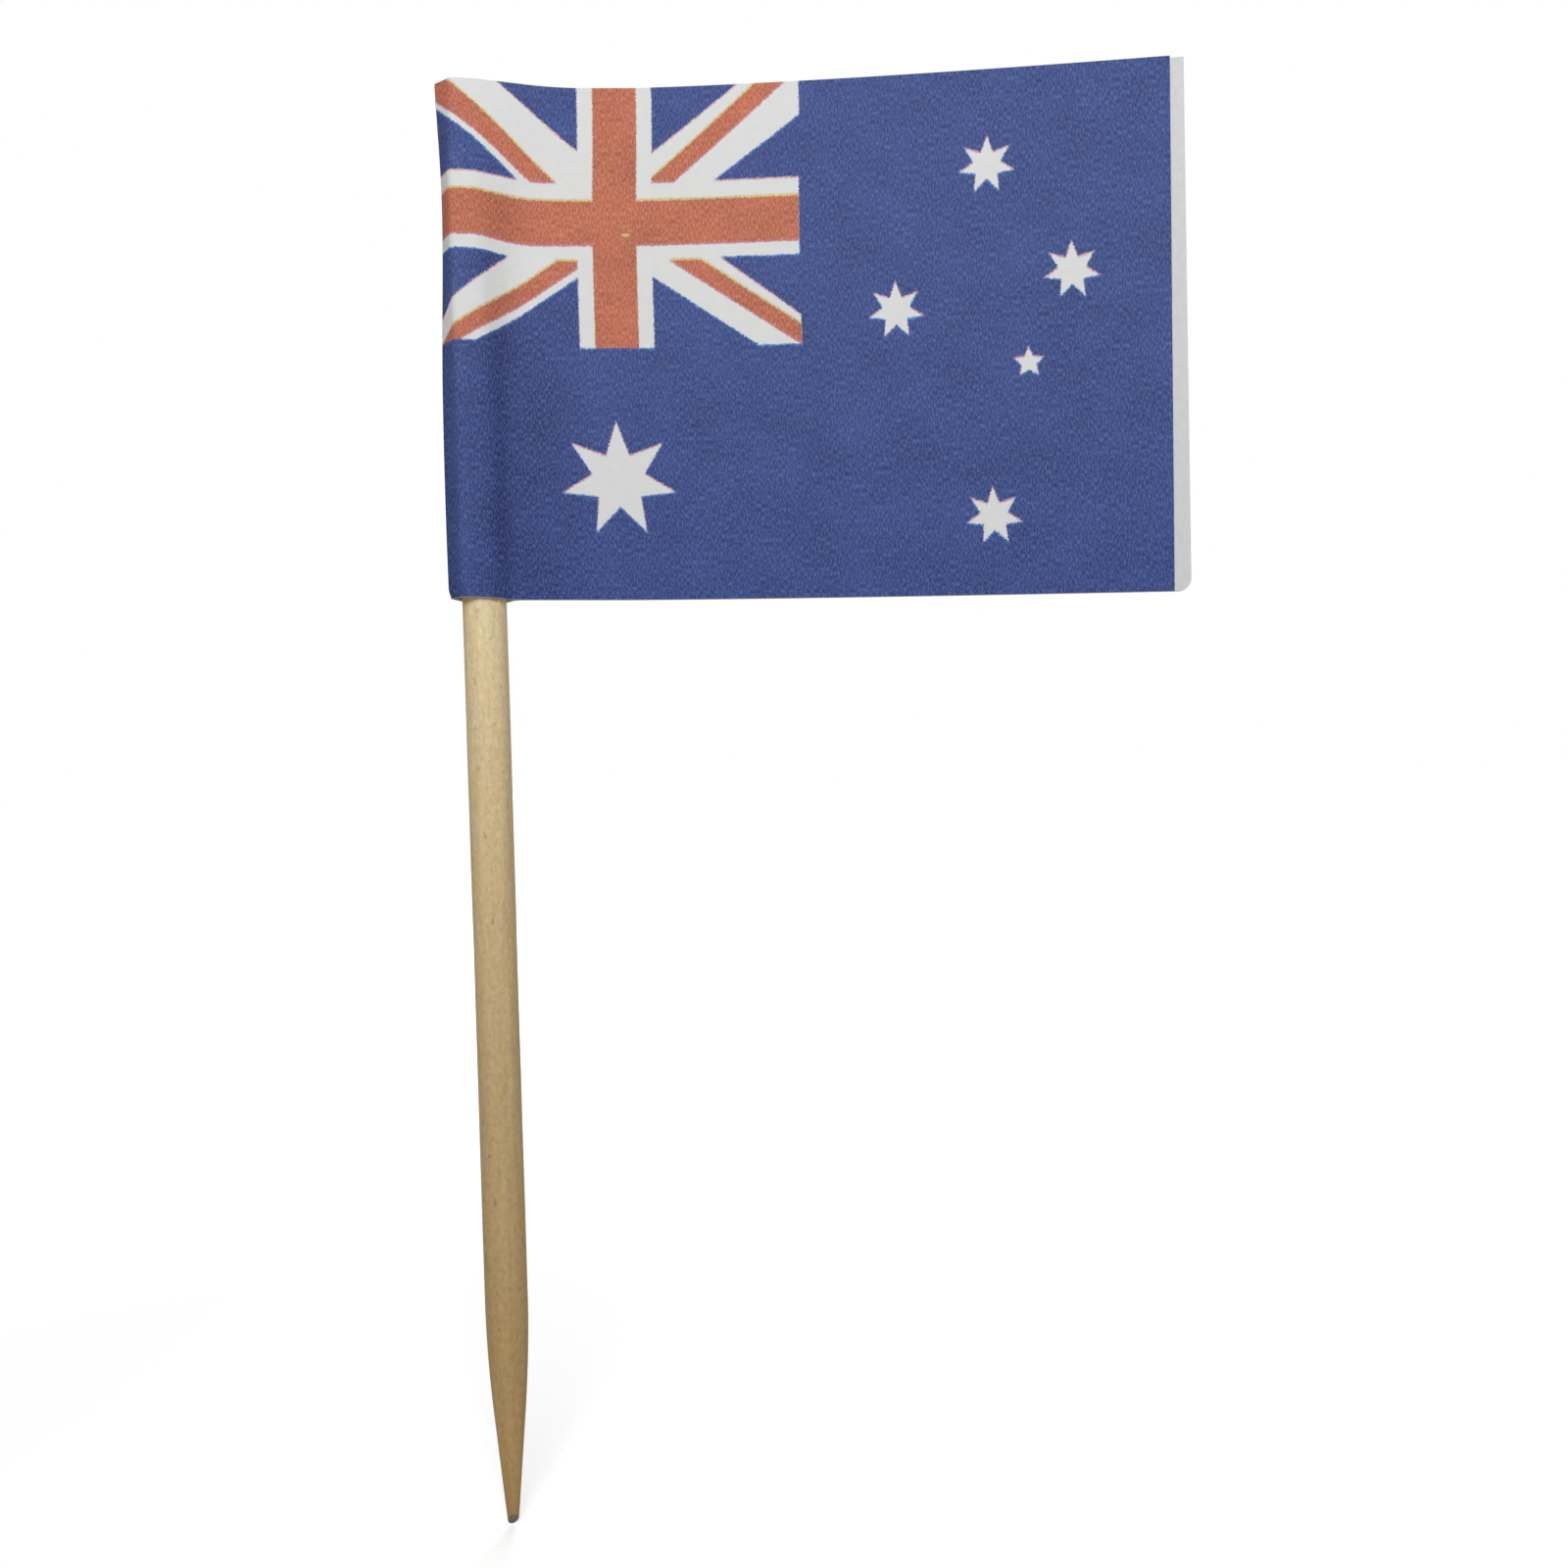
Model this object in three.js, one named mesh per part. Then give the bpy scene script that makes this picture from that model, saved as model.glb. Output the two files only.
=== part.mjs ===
// Flag food pick: a pointed wooden stick with one printed paper strip wrapped round its upper end.
// The strip makes the back leaf, the sleeve round the stick and the front leaf, and it is glued.
// Millimetres. The origin is the middle of the stick's blunt tip and +Z runs up the stick.
// The printed front faces -Y, and the fly, the free end of the flag, is at +X.
import * as THREE from 'three';

// Stick
const pickLength = 65;
const pickTopDiameter = 2.17;
const pickLowDiameter = 2.1;
const pointLength = 8.7; // of the cone, if its shoulder were sharp
const shoulderRun = 2.8; // the shoulder is rounded over this length each way
const tipDiameter = 0.5;
const topChamfer = 0.08;

// Paper strip
const paperThickness = 0.12;
const flagHeight = 25;
const mouthHeight = 46.1; // up the stick, where the flag's lower edge crosses its axis
const frontReach = 32.95; // from the stick's axis to the end of the front leaf, along the lower edge
const frontEndLean = 0.22; // the front leaf's end leans back by this much at the top
const backReach = 33.76;
const backEndLean = 0.36;
const backCornerRadius = 0.6; // the lower corner of the back leaf's end

// How the flag stands on the stick
const droop = THREE.MathUtils.degToRad(1.5); // the fly hangs below a right angle to the stick
const tilt = THREE.MathUtils.degToRad(1.3); // the flag leans back from the stick
const leafForward = 0.15; // at the mouth the leaves' plane is this far in front of the stick's axis

// The fly end curls forward
const curlStart = 7; // from the stick's axis
const curlRun = 25.56;
const curlRise = 2.8;
const curlPower = 1.3;

// Adhesive
const leafFilm = 0.04; // between the two leaves
const pickFilm = 0.05; // between the stick and the sleeve
const filmClearance = 0.01; // on each side of a film
const filmInset = 0.6; // from the film's border to the paper's edge
const pickFilmArc = THREE.MathUtils.degToRad(50);

// The sleeve has a sharp crease at its left edge, and each half has a softer elbow left of the stick
const creaseRadius = 0.2;
const elbowRadius = 0.38;
const elbowSlack = 0.23; // from the sleeve's round part on the stick
const elbowTurn = THREE.MathUtils.degToRad(58); // from straight left, to the front or to the back

// The sleeve's section at five heights, from the mouth to the upper edge:
// slack  from the sleeve's round part on the stick to its crease
// forward  from the stick's axis to the crease
// run    from the sleeve's round part to where the leaves meet
// round  half the length of the bend there
// depth  how much of its depth the sleeve keeps
const pickEnd = pickLength - mouthHeight; // above the mouth
const sleeveSections = [
  { height: 0, slack: 0.24, forward: 0.4, run: 0.3, round: 0.5, depth: 1 },
  { height: 0.5, slack: 0.365, forward: 0.4, run: 0.31, round: 0.5, depth: 1 },
  { height: 10, slack: 0.35, forward: 0.4, run: 0.42, round: 0.6, depth: 1 },
  { height: pickEnd, slack: 0.115, forward: 0.35, run: 1.3, round: 1.15, depth: 1 },
  { height: flagHeight, slack: 0.385, forward: 0.25, run: 3.0, round: 1.5, depth: 0.62 },
];

// Fineness
const pickSides = 40;
const shoulderSteps = 6;
const cornerSteps = 3;
const rowsOnPick = 5;
const rowsAbovePick = 3;
const creaseSteps = 3;
const elbowSteps = 3;
const wrapSteps = 5;
const bendSteps = 3;
const leafSteps = 6;
const stripSteps = 2;

const pickTopRadius = pickTopDiameter / 2;
const pickLowRadius = pickLowDiameter / 2;
const glueGap = pickFilm + 2 * filmClearance;
const leafGap = leafFilm + 2 * filmClearance;
const sleeveRadius = pickTopRadius + glueGap + paperThickness / 2; // to the middle of the paper
const leafOffset = (leafGap + paperThickness) / 2;

const woodMaterial = new THREE.MeshStandardMaterial({ color: 0xc8b082, roughness: 0.75, metalness: 0 });
const paperMaterial = new THREE.MeshStandardMaterial({ color: 0x485590, roughness: 0.85, metalness: 0 });
const leafGlueMaterial = new THREE.MeshStandardMaterial({ color: 0xe6e4da, roughness: 0.5, metalness: 0 });
const pickGlueMaterial = new THREE.MeshStandardMaterial({ color: 0xdedbcd, roughness: 0.5, metalness: 0 });

// Points from a to b in equal steps, without a itself.
function stepsTo(a, b, count) {
  return Array.from({ length: count }, (_, i) => a + ((b - a) * (i + 1)) / count);
}

// A point of a quadratic curve with the given ends and middle handle.
function bendPoint(start, handle, end, t) {
  const lean = start.clone().lerp(handle, t);
  return lean.lerp(handle.clone().lerp(end, t), t);
}

// The stick: a blunt tip, a cone, a rounded shoulder, a slightly tapered shaft and a square-cut top.
function pick() {
  const tip = new THREE.Vector2(tipDiameter / 2, 0);
  const shoulder = new THREE.Vector2(pickLowRadius, pointLength);
  const top = new THREE.Vector2(pickTopRadius, pickLength - topChamfer);
  const bendStart = shoulder.clone().lerp(tip, shoulderRun / pointLength);
  const bendEnd = shoulder.clone().lerp(top, shoulderRun / (top.y - shoulder.y));
  const profile = [new THREE.Vector2(0, 0), tip, bendStart];
  for (const t of stepsTo(0, 1, shoulderSteps)) {
    profile.push(bendPoint(bendStart, shoulder, bendEnd, t));
  }
  profile.push(top);
  profile.push(new THREE.Vector2(pickTopRadius - topChamfer, pickLength));
  profile.push(new THREE.Vector2(0, pickLength));
  const geometry = new THREE.LatheGeometry(profile, pickSides);
  geometry.rotateX(Math.PI / 2);
  const mesh = new THREE.Mesh(geometry, woodMaterial);
  mesh.name = 'pick';
  return mesh;
}

// The sleeve's section at a height, by a smooth curve through its sections.
function sectionAt(height) {
  const last = sleeveSections.length - 1;
  let i = 0;
  while (i < last - 1 && height > sleeveSections[i + 1].height) {
    i += 1;
  }
  const low = sleeveSections[i];
  const high = sleeveSections[i + 1];
  const gap = high.height - low.height;
  const t = (height - low.height) / gap;
  const slope = (k, key) => {
    const before = sleeveSections[Math.max(k - 1, 0)];
    const after = sleeveSections[Math.min(k + 1, last)];
    return (after[key] - before[key]) / (after.height - before.height);
  };
  const blend = (key) => {
    const start = low[key] * (1 + 2 * t) * (1 - t) ** 2 + high[key] * t ** 2 * (3 - 2 * t);
    return start + gap * t * (1 - t) * (slope(i, key) * (1 - t) - slope(i + 1, key) * t);
  };
  const keys = ['slack', 'forward', 'run', 'round', 'depth'];
  return Object.fromEntries(keys.map((key) => [key, blend(key)]));
}

// How far the paper stands forward at a distance from the stick's axis.
function curlAt(u) {
  return curlRise * (Math.max(u - curlStart, 0) / curlRun) ** curlPower;
}

// The reach of a leaf at a height. The back leaf's lower corner is rounded.
function reachAt(height, side) {
  if (side < 0) {
    return frontReach - (frontEndLean * height) / flagHeight;
  }
  const short = Math.max(backCornerRadius - height, 0);
  const corner = backCornerRadius - Math.sqrt(backCornerRadius ** 2 - short ** 2);
  return backReach - (backEndLean * height) / flagHeight - corner;
}

// Distances from the axis at which both leaves have a line of points, as far as the front leaf's end.
function leafLines(height, from) {
  const to = reachAt(height, -1);
  return [...stepsTo(from, from + filmInset, 1),
    ...stepsTo(from + filmInset, to - filmInset, leafSteps),
    to];
}

// A point at a distance from a centre, turned from straight left towards the given side.
function turned(centre, radius, turn, side) {
  return new THREE.Vector2(centre.x - radius * Math.cos(turn), centre.y + side * radius * Math.sin(turn));
}

// The turn at which the paper leaves one round bend and runs straight to the next.
function leaving(bend, next, side) {
  const span = next.centre.clone().sub(bend.centre);
  return Math.acos((next.radius - bend.radius) / span.length()) - Math.atan2(side * span.y, span.x);
}

// The middle of the paper at a height, from the sleeve's crease to a leaf's end.
// side is -1 for the front half and 1 for the back half.
// The paper bends at the crease, at the elbow and round the stick, and is straight between them.
function halfPath(height, side) {
  const { slack, forward, run, round, depth } = sectionAt(height);
  const axis = new THREE.Vector2(-Math.tan(droop) * height, (-Math.tan(tilt) / Math.cos(droop)) * height);
  const leafY = -leafForward + (side * leafOffset) / depth;
  const crease = new THREE.Vector2(axis.x - sleeveRadius - slack + creaseRadius, axis.y - forward);
  const elbow = turned(axis, sleeveRadius + elbowSlack - elbowRadius, elbowTurn, side);
  const meet = new THREE.Vector2(axis.x + sleeveRadius + run, leafY);
  const bends = [
    { centre: crease, radius: creaseRadius, steps: creaseSteps },
    { centre: elbow, radius: elbowRadius, steps: elbowSteps },
    { centre: axis, radius: sleeveRadius, steps: wrapSteps },
    { centre: meet, radius: 0 },
  ];
  const points = [];
  let start = 0;
  for (let i = 0; i < bends.length - 1; i += 1) {
    const { centre, radius, steps } = bends[i];
    const end = leaving(bends[i], bends[i + 1], side);
    for (const turn of [start, ...stepsTo(start, end, steps)]) {
      points.push(turned(centre, radius, turn, side));
    }
    start = end;
  }
  const touch = points[points.length - 1];
  const bendStart = meet.clone().add(touch.clone().sub(meet).setLength(round));
  const bendEnd = new THREE.Vector2(meet.x + round, leafY);
  points.push(bendStart);
  for (const t of stepsTo(0, 1, bendSteps)) {
    points.push(bendPoint(bendStart, meet, bendEnd, t));
  }
  for (const u of leafLines(height, bendEnd.x)) {
    points.push(new THREE.Vector2(u, leafY));
  }
  if (side > 0) {
    for (const u of stepsTo(reachAt(height, -1), reachAt(height, side), stripSteps)) {
      points.push(new THREE.Vector2(u, leafY));
    }
  }
  for (const point of points) {
    point.y = -leafForward + (point.y + leafForward) * depth - curlAt(point.x);
  }
  return points;
}

// The line moved sideways, to its right for a positive distance, as seen from above.
function moved(line, distance) {
  return line.map((point, i) => {
    const before = line[Math.max(i - 1, 0)];
    const after = line[Math.min(i + 1, line.length - 1)];
    const along = after.clone().sub(before).normalize();
    return new THREE.Vector2(point.x + along.y * distance, point.y - along.x * distance);
  });
}

// A closed solid between two sheets of points, given row by row from the bottom up.
// Seen from the side of the first sheet, its rows run from left to right.
function slab(first, second, heights) {
  const wide = first[0].length;
  const tall = heights.length;
  const positions = [];
  for (const sheet of [first, second]) {
    sheet.forEach((row, j) => row.forEach((point) => positions.push(point.x, point.y, heights[j])));
  }
  const indices = [];
  const square = (a, b, c, d) => indices.push(a, b, c, a, c, d);
  const near = (i, j) => j * wide + i;
  const far = (i, j) => wide * tall + j * wide + i;
  for (let j = 0; j < tall - 1; j += 1) {
    for (let i = 0; i < wide - 1; i += 1) {
      square(near(i, j), near(i + 1, j), near(i + 1, j + 1), near(i, j + 1));
      square(far(i, j), far(i, j + 1), far(i + 1, j + 1), far(i + 1, j));
    }
    square(near(0, j), near(0, j + 1), far(0, j + 1), far(0, j));
    square(near(wide - 1, j), far(wide - 1, j), far(wide - 1, j + 1), near(wide - 1, j + 1));
  }
  for (let i = 0; i < wide - 1; i += 1) {
    square(near(i, 0), far(i, 0), far(i + 1, 0), near(i + 1, 0));
    square(near(i, tall - 1), near(i + 1, tall - 1), far(i + 1, tall - 1), far(i, tall - 1));
  }
  const geometry = new THREE.BufferGeometry();
  geometry.setAttribute('position', new THREE.Float32BufferAttribute(positions, 3));
  geometry.setIndex(indices);
  geometry.computeVertexNormals();
  return geometry;
}

// Heights of the paper's rows of points above the mouth.
function rowHeights() {
  const quarter = stepsTo(0, Math.PI / 2, cornerSteps);
  const corner = quarter.map((angle) => backCornerRadius * (1 - Math.cos(angle)));
  return [0, ...corner,
    ...stepsTo(backCornerRadius, pickEnd, rowsOnPick),
    ...stepsTo(pickEnd, flagHeight - filmInset, rowsAbovePick),
    flagHeight];
}

// The paper strip, from the end of its back leaf round the stick to the end of its front leaf.
function paperFlag() {
  const heights = rowHeights();
  const middles = heights.map((height) => {
    const back = halfPath(height, 1).reverse();
    return [...back, ...halfPath(height, -1).slice(1)];
  });
  const outer = middles.map((line) => moved(line, paperThickness / 2));
  const inner = middles.map((line) => moved(line, -paperThickness / 2));
  const mesh = new THREE.Mesh(slab(outer, inner, heights), paperMaterial);
  mesh.name = 'paper_flag';
  return mesh;
}

// The adhesive film between the leaves, on the same lines of points as they are.
function leafGlue() {
  const heights = rowHeights().slice(cornerSteps, -1);
  const middles = heights.map((height) => {
    const { run, round } = sectionAt(height);
    const start = -Math.tan(droop) * height + sleeveRadius + run + round;
    const lines = leafLines(height, start).slice(0, -1);
    return lines.map((u) => new THREE.Vector2(u, -leafForward - curlAt(u)));
  });
  const front = middles.map((line) => moved(line, leafFilm / 2));
  const back = middles.map((line) => moved(line, -leafFilm / 2));
  const mesh = new THREE.Mesh(slab(front, back, heights), leafGlueMaterial);
  mesh.name = 'leaf_glue';
  return mesh;
}

// A line of adhesive along the stick inside the sleeve, on its front (side -1) or its back (side 1).
function pickGlue(name, side) {
  const inner = pickTopRadius + filmClearance;
  const outer = inner + pickFilm;
  const middle = (side * Math.PI) / 2;
  const from = middle - pickFilmArc / 2;
  const to = middle + pickFilmArc / 2;
  const outline = new THREE.Shape();
  outline.absarc(0, 0, outer, from, to, false);
  outline.absarc(0, 0, inner, to, from, true);
  outline.closePath();
  const depth = pickEnd - 2 * filmInset;
  const geometry = new THREE.ExtrudeGeometry(outline, { depth, bevelEnabled: false, curveSegments: 6 });
  geometry.translate(0, 0, mouthHeight + filmInset);
  const mesh = new THREE.Mesh(geometry, pickGlueMaterial);
  mesh.name = name;
  return mesh;
}

const flag = new THREE.Group();
flag.position.set(0, 0, mouthHeight);
flag.rotation.set(-tilt, droop, 0, 'XYZ');
flag.add(paperFlag(), leafGlue());

const flagFoodPick = new THREE.Group();
flagFoodPick.add(pick(), pickGlue('pick_glue_front', -1), pickGlue('pick_glue_back', 1), flag);

export default flagFoodPick;
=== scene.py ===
import math
from typing import NamedTuple

import bpy
import numpy as np
from mathutils import Matrix, Vector, noise


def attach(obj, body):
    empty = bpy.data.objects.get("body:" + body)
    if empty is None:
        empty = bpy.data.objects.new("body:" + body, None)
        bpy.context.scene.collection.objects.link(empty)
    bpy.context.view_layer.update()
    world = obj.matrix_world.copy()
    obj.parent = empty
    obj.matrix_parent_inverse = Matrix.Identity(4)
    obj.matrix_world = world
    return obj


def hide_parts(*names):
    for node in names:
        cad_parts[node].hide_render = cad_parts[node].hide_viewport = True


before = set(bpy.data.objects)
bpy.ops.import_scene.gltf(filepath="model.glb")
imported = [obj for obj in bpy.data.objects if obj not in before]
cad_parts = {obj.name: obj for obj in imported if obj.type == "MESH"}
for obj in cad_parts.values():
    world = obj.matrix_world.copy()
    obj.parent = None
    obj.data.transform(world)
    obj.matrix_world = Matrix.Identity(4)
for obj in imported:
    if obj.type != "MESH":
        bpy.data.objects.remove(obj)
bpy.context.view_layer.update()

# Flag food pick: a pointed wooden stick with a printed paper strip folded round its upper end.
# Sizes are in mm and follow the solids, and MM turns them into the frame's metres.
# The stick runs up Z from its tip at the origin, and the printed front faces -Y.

MM = 0.001

# Stick
PICK_LENGTH = 65
PICK_TOP_RADIUS = 1.085
PICK_LOW_RADIUS = 1.05
POINT_LENGTH = 8.7
SHOULDER_RUN = 2.8
TIP_RADIUS = 0.25
TOP_CHAMFER = 0.08
TIP_CUT_SLOPE = 1.4
TIP_CUT_TURN = math.radians(20)

# Its relief: fine fibres and broad waves, with their scales round and along the stick. The waves start
# elsewhere in the same noise, so that they don't follow the fibres.
FIBRE_DEPTH = 0.016
FIBRE_SCALES = (9, 0.22)
WAVE_SCALES = (1.6, 0.12)
WAVE_START = 40
WAVE_SHARE = 0.7

# Paper strip, in the flag's own frame: U to the fly, Y away from the viewer, V up from the mouth
PAPER_THICKNESS = 0.12
FLAG_HEIGHT = 25.0
MOUTH_HEIGHT = 46.1
FRONT_REACH = 32.95
FRONT_END_LEAN = 0.22
BACK_REACH = 33.76
BACK_END_LEAN = 0.36
BACK_CORNER = 0.6
DROOP = math.radians(1.5)
TILT = math.radians(1.3)
LEAF_FORWARD = 0.15
CURL_START = 7.0
CURL_RUN = 25.56
CURL_RISE = 2.8
CURL_POWER = 1.3
LEAF_FILM = 0.04
PICK_FILM = 0.05
FILM_CLEARANCE = 0.01
FILM_INSET = 0.6
PICK_END = PICK_LENGTH - MOUTH_HEIGHT
# Height, slack left of the stick, place of the crease in front of the axis, run to where the leaves
# meet, rounding there, share of the depth kept
SLEEVE_SECTIONS = np.array([
    (0.0, 0.24, 0.4, 0.3, 0.5, 1.0),
    (0.5, 0.365, 0.4, 0.31, 0.5, 1.0),
    (10.0, 0.35, 0.4, 0.42, 0.6, 1.0),
    (PICK_END, 0.115, 0.35, 1.3, 1.15, 1.0),
    (FLAG_HEIGHT, 0.385, 0.25, 3.0, 1.5, 0.62),
])
SLEEVE_RADIUS = PICK_TOP_RADIUS + PICK_FILM + 2 * FILM_CLEARANCE + PAPER_THICKNESS / 2
LEAF_OFFSET = (LEAF_FILM + 2 * FILM_CLEARANCE + PAPER_THICKNESS) / 2
CREASE_RADIUS = 0.2
ELBOW_RADIUS = 0.38
ELBOW_SLACK = 0.23
ELBOW_TURN = math.radians(58)

# Fineness: steps in each bend and stretch of the paper, rows up it and up its film, and the stick's
# sides, the heights of its first rows and the spacing of the others
CREASE_STEPS = 8
ELBOW_STEPS = 12
WRAP_STEPS = 14
STRAIGHT_STEPS = 6
MEETING_STEPS = 10
LEAF_STEPS = 90
STRIP_STEPS = 6
CORNER_STEPS = 6
FLAG_ROWS = 100
FILM_ROWS = 60
FILM_COLUMNS = 90
PICK_SIDES = 96
TIP_ROWS = (0.0, 0.06, 0.14)
FIRST_PICK_ROW = 0.3
PICK_ROW = 0.35
SHARP_ANGLE = math.radians(35)

# Print on the strip: along it from the line about which front and back mirror each other, and up it
# from the mouth. That line lies behind the crease and leans.
PRINT_START = 0.12
PRINT_LEAN = 0.0213
CROSS_ALONG = 9.585
CROSS_UP = 18.5
WHITE_ARM = 1.835
RED_ARM = 1.07
WHITE_BAR = (16.64, 20.40)
RED_BAR = (17.34, 19.54)
RED_DIAGONAL_CLEAR = 1.9
CANTON_END = 18.64
CANTON_FOOT = 12.29
# Each diagonal, by the side of the cross on which it lies, to the right or up, with its four borders
# from the top down, as (slope, height where it would cross the upright arm)
DIAGONALS = {
    (1, 1): [(0.757, 20.45), (0.870, 19.04), (0.857, 17.89), (0.721, 16.86)],
    (1, -1): [(-0.757, 20.59), (-0.686, 19.50), (-0.672, 18.39), (-0.676, 17.01)],
    (-1, 1): [(-0.809, 20.46), (-0.890, 17.86), (-0.784, 17.16), (-0.813, 16.52)],
    (-1, -1): [(0.833, 21.02), (0.683, 18.54), (0.656, 17.42), (0.661, 16.95)],
}
# Points, place along and up, radius to a tip, radius to a notch as a share of it, width to height
STARS = [
    (7, 9.38, 5.87, 2.87, 0.465, 1.0),
    (7, 27.62, 20.46, 1.40, 0.49, 0.97),
    (7, 31.54, 15.26, 1.40, 0.49, 0.97),
    (7, 23.21, 13.73, 1.40, 0.49, 0.97),
    (7, 27.41, 3.76, 1.40, 0.49, 0.97),
    (5, 29.40, 10.99, 0.76, 0.48, 1.0),
]
# The three ink plates don't quite meet: magenta lies low, and yellow lies high
BORDER_SOFTNESS = 0.07
MAGENTA_SHIFT = 0.08
YELLOW_RISE = 0.06
# Share of blue's magenta that lies low, and the sum of two shares of red that is full yellow
LOW_MAGENTA = 0.72
FULL_YELLOW = 1.8
# A speck of the red is bare of magenta: its place, its half width and height, and shares of these
# between which its rim fades
SPECK = (10.15, 17.81)
SPECK_REACH = (0.27, 0.09)
SPECK_RIM = (0.6, 1.1)


class Grain(NamedTuple):
    """A noise: how much each direction counts, its scale per mm, its detail and its roughness."""
    shape: tuple
    scale: float
    detail: float
    roughness: float = 0.5


# Most of a noise's values, and the middle of them
NOISE_RANGE = (0.3, 0.7)
NOISE_CORE = (0.35, 0.65)
EVEN = (1.0, 1.0, 1.0)
WHITE = (1.0, 1.0, 1.0)

# Ink borders are ragged, and the ink is mottled in short upright strokes and broad clouds
RAG = Grain(EVEN, 11.0, 1.0)
RAG_REACH = 0.18
STROKES = Grain((1.0, 0.32, 1.0), 15.0, 1.0)
STROKES_LIGHT = (-0.26, 0.2)
CLOUDS = Grain(EVEN, 0.4, 4.0, 0.6)
CLOUDS_LIGHT = (-0.12, 0.12)
TINT = Grain(EVEN, 12.0, 0.0)
TINT_REACH = 0.3

# The inked colour is darker along the crease, and painted shade darkens it in the hollow beside the
# stick, most below the upper part. Along the strip, places are measured from the crease.
CREASE_REACH = 1.35
CREASE_LIGHT = -0.3
HOLLOW_START = 1.5
HOLLOW_ALONG = 3.25
HOLLOW_END = 8.0
HOLLOW_HEIGHTS = (12.0, 19.0)
HOLLOW_PAINTED_SHADE = (-0.29, -0.04)
# Tint of the crease darkening and of the painted hollow shade, and their share in the red
DARKENING_TINT = (1.12, 1.12, 0.85)
DARKENING_IN_RED = 0.35

# Bare paper shows between the strokes, a little more towards the top, and along a worn line at the
# sleeve's front elbow: shares of it, and the noise values between which they grow
GAP_STROKES = (0.45, 0.7)
STROKE_GAPS = 0.085
HIGH_GAPS = 0.014
HIGH_GAPS_HEIGHT = 16.0
WORN_ALONG = 1.25
WORN_REACH = 0.5
WORN_CLOUDS = (0.35, 0.6)
WORN_GAPS = 0.022

# Inks as filters of white paper, linear
CYAN_INK = (0.08, 0.348, 0.883)
MAGENTA_INK = (0.78, 0.30, 0.40)
YELLOW_INK = (0.931, 0.718, 0.305)

# Two tones of each plain surface, linear, and the noise that mixes them
PAPER_CLOUDS = Grain(EVEN, 2.2, 3.0)
PAPER_TONES = ((0.732, 0.743, 0.731), (0.762, 0.771, 0.758))
INNER_FIBRES = Grain((1.0, 0.6, 0.0), 4.0, 3.0)
INNER_TONES = ((0.65, 0.665, 0.665), (0.71, 0.725, 0.725))
EDGE_FIBRES = Grain((1.0, 1.0, 0.0), 6.0, 3.0)
EDGE_TONES = ((0.36, 0.33, 0.41), (0.54, 0.50, 0.56))
END_GRAIN = Grain(EVEN, 7.0, 2.0)
END_TONES = ((0.17, 0.12, 0.09), (0.36, 0.27, 0.20))
LUMPS = Grain(EVEN, 1.8, 2.0)
ADHESIVE_TONES = ((0.70, 0.68, 0.58), (0.80, 0.79, 0.71))

# Wood, linear, at its darker low end and where the flag begins
LOW_WOOD = (0.49, 0.32, 0.138)
HIGH_WOOD = (0.825, 0.67, 0.4)
LOW_WOOD_HEIGHT = 4.0
HIGH_WOOD_HEIGHT = 45.0
WOOD_FADE = 1.45
TIP_DARKENING = (0.88, 0.82, 0.72)
TIP_DARKENING_HEIGHT = 3.5
STREAKS = Grain((1.0, 1.0, 0.06), 3.2, 2.0)
STREAKS_LIGHT = (-0.06, 0.06)
FLECKS = Grain((1.0, 1.0, 0.6), 5.0, 4.0, 0.7)
FLECKS_LIGHT = (-0.13, 0.13)
# Lighter places are also paler: how much of their light each colour takes
PALER = (1.0, 1.15, 1.5)
PATCHES = Grain((1.0, 1.0, 0.3), 0.9, 1.0)
PATCH_TINTS = ((1.01, 0.985, 0.95), (0.99, 1.005, 1.03))
PORES = Grain((1.0, 1.0, 0.6), 3.6, 1.0)
PORE_RANGE = (0.68, 0.76)
PORE_SHARE = 0.45
PORE_STAIN = (0.5, 0.44, 0.4)

# The photograph's camera, in the flag's frame
EYE = (14.706, -63.30, -9.02)
FOCAL_PIXELS = 1315
PHOTO_PIXELS = 1600
SENSOR = 36.0
CLIP_START = 0.001

# Stage: the world's light on the object, and the floor's half width in metres, drop below the tip in mm,
# grey, and own light from near the tip to further off, by distance in metres
WORLD_LIGHT = 0.1
FLOOR_HALF = 1.5
FLOOR_DROP = 0.02
FLOOR_GREY = (0.8, 0.8, 0.8, 1)
FLOOR_ROUGHNESS = 0.9
GLOW_DISTANCES = (0.04, 0.2)
GLOW_STRENGTHS = (0.5, 1.0)

FLAG_TO_PICK = (Matrix.Translation((0, 0, MOUTH_HEIGHT))
                @ Matrix.Rotation(-TILT, 4, "X") @ Matrix.Rotation(DROOP, 4, "Y"))


# Node building

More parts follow.
